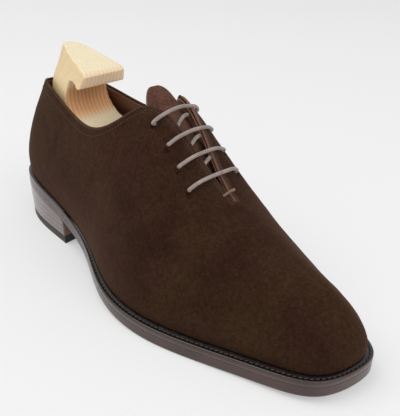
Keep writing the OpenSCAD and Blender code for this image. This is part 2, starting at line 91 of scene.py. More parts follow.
HIGH_OUT_L = [8, 10, 7.5, 6, 6, 10.5, 16.5, 21.5, 22, 22.5, 22.5, 21, 16]
HIGH_DOWN = [24, 24, 24, 24, 24, 22, 20, 12, 8, 5, 3, 1, 0]

RIB_ANGLE = np.pi * np.arange(RIBS + 1) / RIBS
UP = np.array([0.0, 0.0, 1.0])


def unit(v):
    return v / np.linalg.norm(v, axis=-1, keepdims=True)


def smooth_step(x, a, b):
    k = np.clip((np.asarray(x, float) - a) / (b - a), 0, 1)
    return k * k * (3 - 2 * k)


def around(a, b):
    return np.concatenate([np.asarray(a, float), np.asarray(b, float)[-2:0:-1]])


def spline(c, t):
    t = np.asarray(t, float)
    n, i = len(c), np.floor(t).astype(int)
    f = t - i
    if c.ndim > 1:
        f = f[..., None]
    return ((1 - f) ** 3 * c[(i - 1) % n] + (3 * f ** 3 - 6 * f ** 2 + 4) * c[i % n]
            + (-3 * f ** 3 + 3 * f ** 2 + 3 * f + 1) * c[(i + 1) % n] + f ** 3 * c[(i + 2) % n]) / 6


def rib_points(side):
    x = LAST_X + LAST_L * (1 - np.cos(RIB_ANGLE)) / 2
    out = unit(np.stack([-SHAPE * np.cos(RIB_ANGLE), side * np.sin(RIB_ANGLE), 0 * RIB_ANGLE], 1))
    half = np.array(MEDIAL_Y) if side > 0 else -np.array(LATERAL_Y)
    lean = RIDGE_Y * np.clip((np.array(TOP_X) - 60) / 200, 0, 1)
    foot = np.stack([x, half, FEATHER_Z], 1)
    peak = np.stack([TOP_X, lean + side * np.array(TOP_Y), TOP_Z], 1)
    low = foot + out * np.array(LOW_OUT)[:, None] + UP * np.array(LOW_UP)[:, None]
    high_out = np.array(HIGH_OUT_M if side > 0 else HIGH_OUT_L)
    high = peak - UP * np.array(HIGH_DOWN)[:, None] + out * high_out[:, None]
    return foot, low, high, peak


FOOT, LOW, HIGH, PEAK = [around(a, b) for a, b in zip(rib_points(1), rib_points(-1))]
FEATHER, GROUND, WELT = [around(a, a) for a in (FEATHER_Z, GROUND_Z, WELT_W)]


def skin(t, u):
    t, u = np.broadcast_arrays(np.asarray(t, float), np.asarray(u, float))
    u = u[..., None]
    return ((1 - u) ** 3 * spline(FOOT, t) + 3 * u * (1 - u) ** 2 * spline(LOW, t)
            + 3 * u * u * (1 - u) * spline(HIGH, t) + u ** 3 * spline(PEAK, t))


# --- fine grid of the last's surface, with the crest over the toes rounded off ------------------
PER_RIB = 24
COLUMNS, ROWS = 2 * RIBS * PER_RIB, 72
T_GRID = np.arange(COLUMNS) / PER_RIB
U_GRID = np.linspace(0, 1, ROWS + 1)
ZIP = 9                                  # from this rib to the toe both sides meet on the ridge
CREST_PASSES, CREST_SHARE, WAVES = 10, 0.9, 14
RIDGE = np.arange(ZIP * PER_RIB, COLUMNS - ZIP * PER_RIB + 1)
TWIN = COLUMNS - RIDGE


def ripples(points, size, seed):
    """Smooth pseudo-random height between -1 and 1 at each point, with bumps of about that size."""
    rng = np.random.default_rng(seed)
    total = 0
    for _ in range(WAVES):
        direction = unit(rng.normal(size=3)) * 2 * np.pi / (size * rng.uniform(0.7, 1.6))
        total = total + np.sin(points @ direction + rng.uniform(0, 2 * np.pi))
    return total / math.sqrt(WAVES / 2) / 1.6


def crest_rounded(s):
    """Rounds the ridge over the toes, where the surfaces of the two sides meet."""
    near_ridge = smooth_step(U_GRID, 0.7, 0.98)
    near_toe = smooth_step(RIBS - ZIP - np.abs(T_GRID[RIDGE] - RIBS), 0.0, 0.7)
    weight = near_ridge[None, :] * near_toe[:, None]
    for _ in range(CREST_PASSES):
        block = s[RIDGE]
        over = np.concatenate([block[:, 1:], s[TWIN][:, -2:-1]], 1)
        under = np.concatenate([block[:, :1], block[:, :-1]], 1)
        block = block + weight[..., None] * CREST_SHARE * ((over + under) / 2 - block)
        s[RIDGE] = block
        s[RIDGE, -1] = (s[RIDGE, -1] + s[TWIN, -1]) / 2
    return s


def grid_normals(s):
    along_u = np.gradient(s, axis=1)
    along_u[RIDGE, -1] = (s[TWIN][:, -2] - s[RIDGE][:, -2]) / 2
    along_t = np.roll(s, -1, 0) - np.roll(s, 1, 0)
    n = unit(np.cross(along_u, along_t))
    n[RIDGE, -1] = unit(n[RIDGE, -2] + n[TWIN, -2])
    return n


SURFACE = crest_rounded(skin(T_GRID[:, None], U_GRID[None, :]))
NORMALS = grid_normals(SURFACE)
softness = smooth_step(U_GRID, 0, 0.15)[None, :, None] * (1 - smooth_step(U_GRID, 0.93, 1))[None, :, None]
unevenness = 0.22 * ripples(SURFACE, 34, 3) + 0.07 * ripples(SURFACE, 9, 4)
SURFACE = SURFACE + NORMALS * softness * unevenness[..., None]
NORMALS = grid_normals(SURFACE)


def sample(grid, t, u):
    t, u = np.broadcast_arrays(np.asarray(t, float), np.asarray(u, float))
    x, y = (t * PER_RIB) % COLUMNS, np.clip(u, 0, 1) * ROWS
    i, j = np.floor(x).astype(int), np.minimum(np.floor(y).astype(int), ROWS - 1)
    f, g = (x - i)[..., None], (y - j)[..., None]
    k = (i + 1) % COLUMNS
    return ((1 - f) * (1 - g) * grid[i % COLUMNS, j] + f * (1 - g) * grid[k, j]
            + (1 - f) * g * grid[i % COLUMNS, j + 1] + f * g * grid[k, j + 1])


def inside(t, u, depth):
    """Points that lie this deep under the surface."""
    return sample(SURFACE, t, u) - np.asarray(depth)[..., None] * unit(sample(NORMALS, t, u))


def below_top(t, distance):
    """Height on the surface, for each t, of the point that lies this far below the top edge."""
    result = []
    for a, d in zip(t, np.broadcast_to(distance, np.shape(t))):
        run = distances(sample(SURFACE, a, U_GRID[::-1]))
        result.append(np.interp(d, run, U_GRID[::-1]))
    return np.array(result)


MIDDLE = LAST_X + LAST_L / 2
SPAN = LAST_L / 2 * (2 + math.cos(math.pi / RIBS)) / 3


def level(table, x):
    """Height at x from a table of heights per rib."""
    angle = np.arccos(np.clip((MIDDLE - np.asarray(x, float)) / SPAN, -1, 1))
    return spline(table, angle * RIBS / np.pi)


def feather(x):
    return level(FEATHER, x)


def ground(x):
    return level(GROUND, x)


DEEP = 6.0


def edge(t, d):
    """Plan outline at an offset from the feather line; deep insets also shrink to the middle."""
    t, d = np.broadcast_arrays(np.asarray(t, float), np.asarray(d, float))
    s = unit((spline(FOOT, t + 0.02) - spline(FOOT, t - 0.02))[..., :2])
    p, keep, rest = spline(FOOT, t), np.maximum(d, -DEEP), np.minimum(0, d + DEEP)
    x = p[..., 0] - s[..., 1] * keep
    y = p[..., 1] + s[..., 0] * keep
    mid = (p[..., 1] + spline(FOOT, 2 * RIBS - t)[..., 1]) / 2
    return np.stack([MIDDLE + (x - MIDDLE) * (1 + rest / MIDDLE), mid + (y - mid) * (1 + rest / 40)], -1)


def at_layer(p, dz):
    return np.concatenate([p, (feather(p[..., 0]) + dz)[..., None]], -1)


# --- meshes -----------------------------------------------------------------------------------
def build(name, points, faces, material, body="shoe", replaces=(), marks=None):
    """One piece from points in the last's frame. marks is a value per point that its material can read."""
    mesh = bpy.data.meshes.new(name)
    faces = [tuple(int(i) for i in f) for f in faces]
    used = sorted({i for f in faces for i in f})
    renumber = dict(zip(used, range(len(used))))
    places = metres(np.asarray(points)[used]).tolist()
    mesh.from_pydata(places, [], [[renumber[i] for i in f] for f in faces])
    mesh.validate()
    mesh.shade_smooth()
    if marks is not None:
        attribute = mesh.attributes.new("marks", "FLOAT", "POINT")
        attribute.data.foreach_set("value", np.asarray(marks, np.float32)[used])
    mesh.materials.append(material)
    piece = bpy.data.objects.new(name, mesh)
    bpy.context.scene.collection.objects.link(piece)
    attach(piece, body)
    if replaces:
        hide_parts(*replaces)
    return piece


def quads(ids):
    """Quads of a grid of point numbers."""
    a, b, c, d = ids[:-1, :-1], ids[1:, :-1], ids[1:, 1:], ids[:-1, 1:]
    return np.stack([a, b, c, d], -1)


def quad_list(ids, flip=False):
    faces = quads(ids).reshape(-1, 4)
    return (faces[:, ::-1] if flip else faces).tolist()


def wrap(ids, axis):
    """Repeats the first row or column after the last, so that the grid closes on itself."""
    return np.concatenate([ids, np.take(ids, [0], axis)], axis)


def sweep(sections):
    """Points and faces of a solid through closed sections, as an array (sections, points, 3)."""
    ids = np.arange(sections.shape[0] * sections.shape[1]).reshape(sections.shape[:2])
    faces = quad_list(wrap(ids, 1)) + [ids[0].tolist(), ids[-1, ::-1].tolist()]
    return sections.reshape(-1, 3), faces


RIM_ROUNDS, RIM_BULGE = 3, 0.8


def slab(front, back):
    """A sheet with thickness from two grids of points, with a half-round rim all round."""
    n, m = front.shape[:2]
    rim = ([(i, 0) for i in range(n - 1)] + [(n - 1, j) for j in range(m - 1)]
           + [(i, m - 1) for i in range(n - 1, 0, -1)] + [(0, j) for j in range(m - 1, 0, -1)])
    i, j = np.array(rim).T
    a, b = front[i, j], back[i, j]
    inner = front[np.clip(i, 1, n - 2), np.clip(j, 1, m - 2)]
    out = unit(a - inner + 1e-9)
    angles = np.linspace(0, np.pi, RIM_ROUNDS + 2)[1:-1]
    middle, half = (a + b) / 2, (a - b) / 2
    bulge = np.linalg.norm(half, axis=1, keepdims=True) * RIM_BULGE
    rows = [middle + half * math.cos(g) + out * bulge * math.sin(g) for g in angles]
    ids = np.arange(n * m).reshape(n, m)
    rim_ids = 2 * n * m + np.arange(len(rim) * RIM_ROUNDS).reshape(RIM_ROUNDS, len(rim))
    around_rim = np.stack([ids[i, j], *rim_ids, ids[i, j] + n * m])
    faces = quad_list(ids, flip=True) + quad_list(ids + n * m) + quad_list(wrap(around_rim, 1))
    points = np.concatenate([front.reshape(-1, 3), back.reshape(-1, 3), *rows])
    marks = np.concatenate([np.zeros(2 * n * m), np.ones(len(rim) * RIM_ROUNDS)])
    marks[ids[i, j]] = 0.6
    return points, faces, marks


def smooth_path(points, per_segment=12):
    """Catmull-Rom curve through given points."""
    p = np.asarray(points, float)
    p = np.concatenate([[2 * p[0] - p[1]], p, [2 * p[-1] - p[-2]]])
    f = np.linspace(0, 1, per_segment, endpoint=False)[:, None]
    parts = []
    for a, b, c, d in zip(p[:-3], p[1:-2], p[2:-1], p[3:]):
        start = 2 * b + (c - a) * f + (2 * a - 5 * b + 4 * c - d) * f ** 2
        parts.append(0.5 * (start + (3 * b - a - 3 * c + d) * f ** 3))
    return np.concatenate([*parts, p[-2:-1]])


def distances(path):
    """Distance along the path of each of its points."""
    return np.concatenate([[0], np.cumsum(np.linalg.norm(np.diff(path, axis=0), axis=1))])


def evenly(path, step, *others):
    """The path resampled at equal steps, and values along it resampled with it."""
    run = distances(path)
    at = np.linspace(0, run[-1], max(2, int(round(run[-1] / step))) + 1)
    sampled = []
    for values in (path, *others):
        sampled.append(np.stack([np.interp(at, run, column) for column in values.T], 1))
    return sampled if others else sampled[0]


def tube(path, radius, sides):
    """Sections of a cord. radius is a function of the distance along it and the angle round it."""
    tangent = unit(np.gradient(path, axis=0))
    side = np.zeros_like(path)
    side[0] = unit(np.cross(tangent[0], UP + 0.01))
    for i in range(1, len(path)):
        side[i] = unit(side[i - 1] - tangent[i] * (side[i - 1] @ tangent[i]))
    other = np.cross(tangent, side)
    angle = np.linspace(0, 2 * np.pi, sides, endpoint=False)
    r = radius(distances(path)[:, None], angle[None, :])
    return (path[:, None] + r[..., None] * (np.cos(angle)[None, :, None] * side[:, None]
                                            + np.sin(angle)[None, :, None] * other[:, None]))


STITCH_RINGS, STITCH_SIDES, STITCH_FLAT, STITCH_DIP = 6, 8, 0.8, 1.6


def stitches(path, normals, pitch, length, radius, lift, lean=0.0):
    """A row of sewn stitches: short round-ended beads along a path on a surface."""
    centres, up = evenly(path, pitch, normals)
    tangent, up = unit(np.gradient(centres, axis=0)), unit(up)
    across = unit(np.cross(up, tangent))
    tangent = unit(tangent + lean * across)
    a = np.linspace(-np.pi / 2, np.pi / 2, STITCH_RINGS + 1)
    b = np.linspace(0, 2 * np.pi, STITCH_SIDES, endpoint=False)
    thin = np.maximum(np.cos(a), 0.02) ** 0.6
    dip = np.abs(np.sin(a)) ** 3 * lift * STITCH_DIP
    x = np.repeat(np.sin(a) * length / 2, STITCH_SIDES)
    y = (thin[:, None] * np.cos(b) * radius).ravel()
    z = (thin[:, None] * np.sin(b) * radius * STITCH_FLAT).ravel() - np.repeat(dip, STITCH_SIDES)
    bead = (x[None, :, None] * tangent[:, None] + y[None, :, None] * across[:, None]
            + (z + lift)[None, :, None] * up[:, None])
    points = (centres[:, None] + bead).reshape(-1, 3)
    ids = np.arange(len(a) * STITCH_SIDES).reshape(len(a), STITCH_SIDES)
    one = quad_list(wrap(ids, 1)) + [ids[0].tolist(), ids[-1, ::-1].tolist()]
    return points, [[i + k * ids.size for i in f] for k in range(len(centres)) for f in one]


def joined(*parts):
    points, faces, count = [], [], 0
    for p, f in parts:
        points.append(p)
        faces += [[i + count for i in face] for face in f]
        count += len(p)
    return np.concatenate(points), faces


def bake(piece):
    """Applies the piece's modifiers."""
    graph = bpy.context.evaluated_depsgraph_get()
    mesh = bpy.data.meshes.new_from_object(piece.evaluated_get(graph))
    piece.modifiers.clear()
    piece.data = mesh


def helper(name, points, faces):
    mesh = bpy.data.meshes.new(name)
    mesh.from_pydata(metres(points).tolist(), [], [tuple(int(i) for i in f) for f in faces])
    piece = bpy.data.objects.new(name, mesh)
    bpy.context.scene.collection.objects.link(piece)
    return piece


def combine(piece, tool, operation):
    modifier = piece.modifiers.new("cut", "BOOLEAN")
    modifier.operation = operation
    modifier.object = tool
    modifier.solver = "MANIFOLD"
    bake(piece)
    bpy.data.objects.remove(tool)


# --- materials --------------------------------------------------------------------------------
class Shader:
    """A procedural material: a Principled surface and short calls for the nodes that feed it."""

    def __init__(self, name, **sockets):
        self.material = bpy.data.materials.new(name)
        self.material.use_nodes = True
        self.tree = self.material.node_tree
        self.surface = self.tree.nodes["Principled BSDF"]
        for key, value in sockets.items():
            self.surface.inputs[key.replace("_", " ").title().replace("Ior", "IOR")].default_value = value
        self.where = self.node("TexCoord").outputs["Object"]

    def node(self, kind, **settings):
        node = self.tree.nodes.new("ShaderNode" + kind)
        for key, value in settings.items():
            setattr(node, key, value)
        return node

    def plug(self, node, socket, value):
        if isinstance(value, bpy.types.NodeSocket):
            self.tree.links.new(value, node.inputs[socket])
        else:
            node.inputs[socket].default_value = value

    def stretched(self, x, y, z, move=(0, 0, 0)):
        node = self.node("Mapping")
        self.plug(node, "Vector", self.where)
        self.plug(node, "Scale", (x, y, z))
        self.plug(node, "Location", move)
        return node.outputs["Vector"]

    def noise(self, scale, detail, roughness=0.55, distortion=0.0, where=None):
        node = self.node("TexNoise")
        self.plug(node, "Vector", where or self.where)
        for socket, value in (("Scale", scale), ("Detail", detail), ("Roughness", roughness),
                              ("Distortion", distortion)):
            self.plug(node, socket, value)
        return node.outputs["Fac"]

    def cells(self, scale, feature="F1", out="Distance"):
        node = self.node("TexVoronoi", feature=feature)
        self.plug(node, "Vector", self.where)
        self.plug(node, "Scale", scale)
        return node.outputs[out]

    def math(self, operation, a, b=0.0):
        node = self.node("Math", operation=operation)
        self.plug(node, 0, a)
        self.plug(node, 1, b)
        return node.outputs[0]

    def ramp(self, value, low, high, to_low=0.0, to_high=1.0):
        node = self.node("MapRange", interpolation_type="SMOOTHSTEP")
        sockets = ("Value", "From Min", "From Max", "To Min", "To Max")
        for socket, v in zip(sockets, (value, low, high, to_low, to_high)):
            self.plug(node, socket, v)
        return node.outputs["Result"]

    def mix(self, factor, a, b, blend="MIX"):
        node = self.node("MixRGB", blend_type=blend)
        self.plug(node, "Fac", factor)
        self.plug(node, "Color1", a if isinstance(a, bpy.types.NodeSocket) else (*a, 1))
        self.plug(node, "Color2", b if isinstance(b, bpy.types.NodeSocket) else (*b, 1))
        return node.outputs["Color"]

    def marks(self):
        """The value per point that build() stores."""
        return self.node("Attribute", attribute_name="marks").outputs["Fac"]

    def facing(self, axis):
        """How far the surface faces along an axis of the piece, from -1 to 1."""
        node = self.node("SeparateXYZ")
        self.plug(node, 0, self.tree.nodes["Texture Coordinate"].outputs["Normal"])
        return node.outputs[axis]

    def place(self, axis):
        """Where a point lies along an axis, in metres."""
        node = self.node("SeparateXYZ")
        self.plug(node, 0, self.where)
        return node.outputs[axis]

    def bumps(self, *layers):
        """Stacks bump layers of (height, distance in metres, strength)."""
        normal = None
        for height, distance, strength in layers:
            node = self.node("Bump")
            self.plug(node, "Height", height)
            self.plug(node, "Distance", distance)
            self.plug(node, "Strength", strength)
            if normal is not None:
                self.plug(node, "Normal", normal)
            normal = node.outputs["Normal"]
        self.plug(self.surface, "Normal", normal)

    def finish(self, colour, roughness=None):
        self.plug(self.surface, "Base Color", colour)
        if roughness is not None:
            self.plug(self.surface, "Roughness", roughness)
        return self.material


def suede_material(name, dark, light, rim):
    s = Shader(name, roughness=0.95, specular_ior_level=0.05, sheen_weight=0.12, sheen_roughness=0.5,
               sheen_tint=(0.7, 0.42, 0.28, 1))
    nap = s.noise(34, 5, 0.6, 0.6)
    strokes = s.noise(170, 5, 0.62, 1.4)
    fibres = s.noise(1900, 3, 0.7)
    clumps = s.noise(520, 4, 0.65)
    red, green, blue = light
    colour = s.mix(s.ramp(nap, 0.34, 0.68), dark, light)
    patches = s.noise(15, 3, 0.5, 0.5)
    colour = s.mix(s.ramp(patches, 0.5, 0.68, 0.0, 0.5), colour, (1.1 * red, 1.2 * green, 0.85 * blue))
    colour = s.mix(s.ramp(patches, 0.32, 0.48, 0.4, 0.0), colour, (1.12 * red, 0.85 * green, 0.9 * blue))
    colour = s.mix(s.ramp(strokes, 0.38, 0.7, 0.0, 0.24), colour, tuple(1.4 * c for c in light))
    colour = s.mix(s.ramp(clumps, 0.32, 0.72, 0.45, 0.0), colour, tuple(0.5 * c for c in dark), "MULTIPLY")
    colour = s.mix(s.ramp(fibres, 0.5, 0.8, 0.0, 0.45), colour, tuple(1.9 * c for c in light))
    # cut edges where marks are set take the lighter rim colour; along the facings this is partly the cut
    # edge's own colour, partly a painted highlight
    colour = s.mix(s.math("MULTIPLY", s.marks(), 0.8), colour, rim)
    s.bumps((strokes, 0.0004, 0.35), (clumps, 0.00025, 0.5), (fibres, 0.00012, 0.6))
    return s.finish(colour)


PORES = 0.5


def leather_material(name, dark, light, roughness, grain, coat=0.0):
    s = Shader(name, specular_ior_level=0.5, coat_weight=coat, coat_roughness=0.18)
    cloud = s.noise(45, 4, 0.6, 0.5)
    cell = s.cells(grain, feature="DISTANCE_TO_EDGE")
    pore = s.noise(2600, 2, 0.6)
    colour = s.mix(s.ramp(cloud, 0.32, 0.7), dark, light)
    colour = s.mix(s.ramp(cell, 0.0, 0.09, 0.45 * PORES, 0.0), colour, tuple(0.45 * c for c in dark))
    s.bumps((s.ramp(cell, 0.0, 0.12), 0.0001, 0.5 * PORES), (pore, 0.00005, 0.4 * PORES))
    return s.finish(colour, s.ramp(cloud, 0.3, 0.7, roughness - 0.06, roughness + 0.1))


def edge_material(name, dark, light, raw=None, top=None, fibre_share=0.3, coat=0.3):
    """Stained and waxed leather edges. raw is the colour of a heel's breast. top is an almost black colour
    for the upward faces: painted shade of the crease where a welt's top runs in under the upper.
    """
    s = Shader(name, specular_ior_level=0.5, coat_weight=coat, coat_roughness=0.16)
    fibres = s.noise(1, 5, 0.62, 0.3, s.stretched(130, 130, 1500))
    cloud = s.noise(60, 3, 0.5)
    scuff = s.noise(420, 4, 0.7)
    colour = s.mix(s.ramp(cloud, 0.3, 0.7), dark, light)
    colour = s.mix(s.ramp(fibres, 0.36, 0.62, fibre_share, 0.0), colour, tuple(0.6 * c for c in dark))
    if top:
        # painted shade: upward faces turn almost black, for the crease where the welt's top runs in under
        # the upper
        colour = s.mix(s.ramp(s.facing("Z"), 0.45, 0.75), colour, top)
    if raw:
        fresh = s.mix(s.ramp(fibres, 0.35, 0.65), tuple(0.55 * c for c in raw), raw)
        colour = s.mix(s.ramp(s.facing("X"), 0.72, 0.86), colour, fresh)
    s.bumps((fibres, 0.00004, 0.6 * fibre_share), (scuff, 0.00003, 0.15))
    return s.finish(colour, s.ramp(scuff, 0.35, 0.75, 0.26, 0.42))


def rubber_material():
    s = Shader("rubber", specular_ior_level=0.4)
    speck = s.noise(1400, 3, 0.7)
    cloud = s.noise(70, 3)
    s.bumps((speck, 0.0001, 0.5))
    trimmed = s.mix(s.ramp(cloud, 0.3, 0.7), (0.034, 0.026, 0.021), (0.055, 0.044, 0.036))
    black = s.mix(s.ramp(cloud, 0.3, 0.7), (0.008, 0.0075, 0.0075), (0.016, 0.015, 0.015))
    colour = s.mix(s.ramp(s.facing("X"), 0.72, 0.86), trimmed, black)
    return s.finish(colour, s.ramp(speck, 0.3, 0.7, 0.5, 0.68))


def cord_material():
    s = Shader("lace_cord", roughness=0.6, specular_ior_level=0.35, sheen_weight=0.3, sheen_roughness=0.4)
    yarn = s.noise(2300, 3, 0.6)
    cloud = s.noise(160, 3)
    colour = s.mix(s.ramp(cloud, 0.3, 0.7), (0.24, 0.185, 0.165), (0.34, 0.27, 0.245))
    # painted shade: darker in the hollows between the braid's strands, where marks are set
    colour = s.mix(s.math("MULTIPLY", s.marks(), 0.75), colour, (0.08, 0.058, 0.05))
    colour = s.mix(s.ramp(yarn, 0.45, 0.75, 0.0, 0.5), colour, (0.46, 0.38, 0.35))
    s.bumps((yarn, 0.0001, 0.5))
    return s.finish(colour, s.ramp(yarn, 0.3, 0.7, 0.5, 0.7))


def thread_material(name, dark, light):
    s = Shader(name, roughness=0.7, specular_ior_level=0.2)
    twist = s.noise(3200, 2, 0.6)
    s.bumps((twist, 0.00008, 0.5))
    return s.finish(s.mix(s.ramp(twist, 0.35, 0.65), dark, light))


def beech_material():
    s = Shader("beech", specular_ior_level=0.35, coat_weight=0.08, coat_roughness=0.35)
    end = s.ramp(s.math("ABSOLUTE", s.facing("X")), 0.45, 0.9)
    drift = s.noise(22, 3, 0.5)
    rings = s.node("TexWave", wave_type="RINGS", rings_direction="X", wave_profile="SAW")
    s.plug(rings, "Vector", s.stretched(1, 1, 0.45, (0, -0.2, -0.045)))
    for socket, value in (("Scale", 105.0), ("Distortion", 2.6), ("Detail", 3.0), ("Detail Scale", 0.35),
                          ("Detail Roughness", 0.55)):
        s.plug(rings, socket, value)
    ring = s.ramp(rings.outputs["Fac"], 0.45, 1.0)
    fibres = s.noise(1, 5, 0.65, 0.2, s.stretched(42, 950, 950))
    flecks = s.noise(1, 2, 0.5, 0.0, s.stretched(260, 1500, 420))
    pale = s.mix(s.ramp(drift, 0.3, 0.7), (0.72, 0.53, 0.28), (0.78, 0.61, 0.35))
    # painted light: faces that look up take a paler, yellower colour, as if lit more strongly from above
    pale = s.mix(s.ramp(s.facing("Z"), 0.5, 0.9), pale, (0.74, 0.67, 0.47))
    pale = s.mix(s.math("MULTIPLY", ring, 0.22), pale, (0.66, 0.42, 0.21))
    pale = s.mix(s.ramp(fibres, 0.4, 0.75, 0.0, 0.3), pale, (0.6, 0.4, 0.22))
    pale = s.mix(s.ramp(flecks, 0.62, 0.74, 0.0, 0.35), pale, (0.55, 0.33, 0.17))
    # painted shade: end grain low down in the concave scoop is darker and redder than that on the handle's
    # front above it
    high = s.ramp(s.place("Z"), 0.102, 0.109)
    shaded_scoop = s.mix(s.ramp(drift, 0.3, 0.7), (0.62, 0.31, 0.13), (0.72, 0.41, 0.2))
    cut = s.mix(high, shaded_scoop, (0.88, 0.67, 0.46))
    cut = s.mix(s.math("MULTIPLY", ring, s.ramp(high, 0.0, 1.0, 0.6, 0.2)), cut, (0.36, 0.14, 0.055))
    cut = s.mix(s.ramp(s.noise(2600, 2), 0.5, 0.75, 0.0, 0.35), cut, (0.26, 0.12, 0.06))
    s.bumps((fibres, 0.0002, 0.25), (ring, 0.0001, 0.2))
    return s.finish(s.mix(end, pale, cut), s.ramp(fibres, 0.3, 0.7, 0.42, 0.58))


def metal_material(name, colour, roughness):
    s = Shader(name, metallic=1.0)
    brushed = s.noise(1, 3, 0.6, 0.0, s.stretched(60, 1800, 1800))
    s.bumps((brushed, 0.00004, 0.3))
    return s.finish(s.mix(s.ramp(brushed, 0.3, 0.7), colour, tuple(0.7 * c for c in colour)),
                    s.ramp(brushed, 0.3, 0.7, roughness, roughness + 0.16))


def cork_material():
    s = Shader("cork", roughness=0.9, specular_ior_level=0.2)
    grains = s.cells(420, out="Color")
    value = s.node("SeparateXYZ")
    s.plug(value, 0, grains)
    s.bumps((s.cells(420, feature="DISTANCE_TO_EDGE"), 0.0004, 0.6))
    return s.finish(s.mix(value.outputs["X"], (0.3, 0.17, 0.08), (0.62, 0.42, 0.24)))


def canvas_material():
    s = Shader("canvas", roughness=0.9, specular_ior_level=0.2)
    weave = s.node("TexWave", wave_profile="SIN", bands_direction="X")
    other = s.node("TexWave", wave_profile="SIN", bands_direction="Y")
    for node in (weave, other):
        s.plug(node, "Vector", s.where)
        s.plug(node, "Scale", 260.0)
        s.plug(node, "Distortion", 0.6)
    mesh = s.math("MULTIPLY", weave.outputs["Fac"], other.outputs["Fac"])
    s.bumps((mesh, 0.0002, 0.6))
    return s.finish(s.mix(mesh, (0.4, 0.34, 0.25), (0.66, 0.6, 0.48)))


SUEDE = suede_material("suede", (0.0235, 0.0092, 0.0056), (0.038, 0.0178, 0.0098), (0.2, 0.115, 0.08))
TRIM = suede_material("suede_trim", (0.048, 0.0215, 0.013), (0.085, 0.043, 0.028), (0.19, 0.12, 0.09))
TONGUE_SUEDE = suede_material("suede_tongue", (0.078, 0.036, 0.025), (0.13, 0.067, 0.047),
                              (0.28, 0.185, 0.145))
LINING = leather_material("lining_leather", (0.12, 0.044, 0.022), (0.19, 0.075, 0.039), 0.45, 1100, 0.05)
VEG = leather_material("veg_leather", (0.45, 0.27, 0.14), (0.6, 0.38, 0.21), 0.65, 800)
EDGE_COLOURS = (0.036, 0.0145, 0.0105), (0.056, 0.024, 0.018)
EDGE = edge_material("sole_edge", *EDGE_COLOURS)
HEEL = edge_material("heel_stack", (0.078, 0.045, 0.041), (0.1, 0.062, 0.057), raw=(0.13, 0.042, 0.013),
                     fibre_share=0.03, coat=0.7)
# the welt's and rand's upward faces are painted almost black: painted shade under the upper's edge
WELT_LEATHER = edge_material("welt_leather", *EDGE_COLOURS, top=(0.006, 0.003, 0.0025))
RUBBER = rubber_material()
CORD = cord_material()
THREAD = thread_material("thread", (0.045, 0.026, 0.019), (0.085, 0.05, 0.038))
TACK = thread_material("tack_thread", (0.14, 0.075, 0.048), (0.27, 0.16, 0.115))
WELT_THREAD = thread_material("welt_thread", (0.02, 0.017, 0.014), (0.075, 0.066, 0.055))
BEECH = beech_material()
STEEL = metal_material("steel", (0.5, 0.5, 0.52), 0.28)
BRASS = metal_material("brass", (0.72, 0.5, 0.2), 0.3)
CORK = cork_material()
CANVAS = canvas_material()

# --- upper and lining: shells, open along the facings and joined on the ridge ---------------------
RIM_STEPS, RIM_OUT = 4, 0.42
TUCK, TUCK_LIFT, TUCK_SLOPE = 1.5, 0.15, 0.4    # how the lower edge runs in over the welt
# the facings' front rows take a lighter colour near the cut edge: partly the cut suede's paler colour,
# partly a painted highlight
FACING_MARKS = [(-1, 0.6), (-2, 0.3), (-3, 0.27), (-4, 0.22), (-5, 0.12)]   # row from the rim, and share


def shell(name, outer_d, thick, material, rim_mark, cut):
    """A leather of the upper, at a depth of outer_d under the last's surface, with its holes cut."""
    u = U_GRID[None, :] * np.ones((COLUMNS, 1))
    t = T_GRID[:, None] * np.ones((1, ROWS + 1))
    front_d = outer_d(t, u)
    front = SURFACE - front_d[..., None] * NORMALS
    back = SURFACE - (front_d + thick)[..., None] * NORMALS
    tucks = []
    for w in (0, thick):
        lower_edge = edge(T_GRID, -TUCK - front_d[:, 0] - w)
        tucks.append(at_layer(lower_edge, WELT_TOP + TUCK_LIFT + w * TUCK_SLOPE)[:, None])
    front = np.concatenate([tucks[0], front], 1)
    back = np.concatenate([tucks[1], back], 1)
    rows = ROWS + 2
    ids = np.arange(COLUMNS * rows).reshape(COLUMNS, rows)
    ids[RIDGE, -1] = np.minimum(ids[RIDGE, -1], ids[TWIN, -1])
    back_ids = ids + COLUMNS * rows
    bottom = np.stack([ids[:, 0], back_ids[:, 0]], 1)
    faces = quad_list(wrap(ids, 0), flip=True) + quad_list(wrap(back_ids, 0)) + quad_list(wrap(bottom, 0))
    open_columns = np.arange((2 * RIBS - ZIP) * PER_RIB, (2 * RIBS + ZIP) * PER_RIB) % COLUMNS
    a, b = front[open_columns, -1], back[open_columns, -1]
    out = unit(a - front[open_columns, -2])
    angles = np.pi * np.arange(1, RIM_STEPS) / RIM_STEPS
    rim = np.stack([(a + b) / 2 + (a - b) / 2 * math.cos(g) + out * thick * RIM_OUT * math.sin(g)
                    for g in angles])
    rim_ids = 2 * COLUMNS * rows + np.arange(rim.shape[0] * rim.shape[1]).reshape(rim.shape[:2])
    strip = np.stack([ids[open_columns, -1], *rim_ids, back_ids[open_columns, -1]])
    faces += quad_list(wrap(strip, 1))
    # edge_mark: painted highlight along the facings' edges, strongest on the medial facing, over the cut
    # edge's paler colour
    edge_mark = rim_mark(T_GRID[open_columns])
    marks = np.zeros((2, COLUMNS, rows))
    for row, share in FACING_MARKS:
        marks[0, open_columns, row] = np.maximum(edge_mark - COLLAR_MARK, 0) * share
    points = np.concatenate([front.reshape(-1, 3), back.reshape(-1, 3), rim.reshape(-1, 3)])
    marks = np.concatenate([marks.ravel(), np.tile(edge_mark, rim.shape[0])])
    piece = build(name, points, faces, material, replaces=(name,), marks=marks)
    combine(piece, helper("cutter", *cut), "DIFFERENCE")


def from_heel(t):
    return np.minimum(t, 2 * RIBS - t)


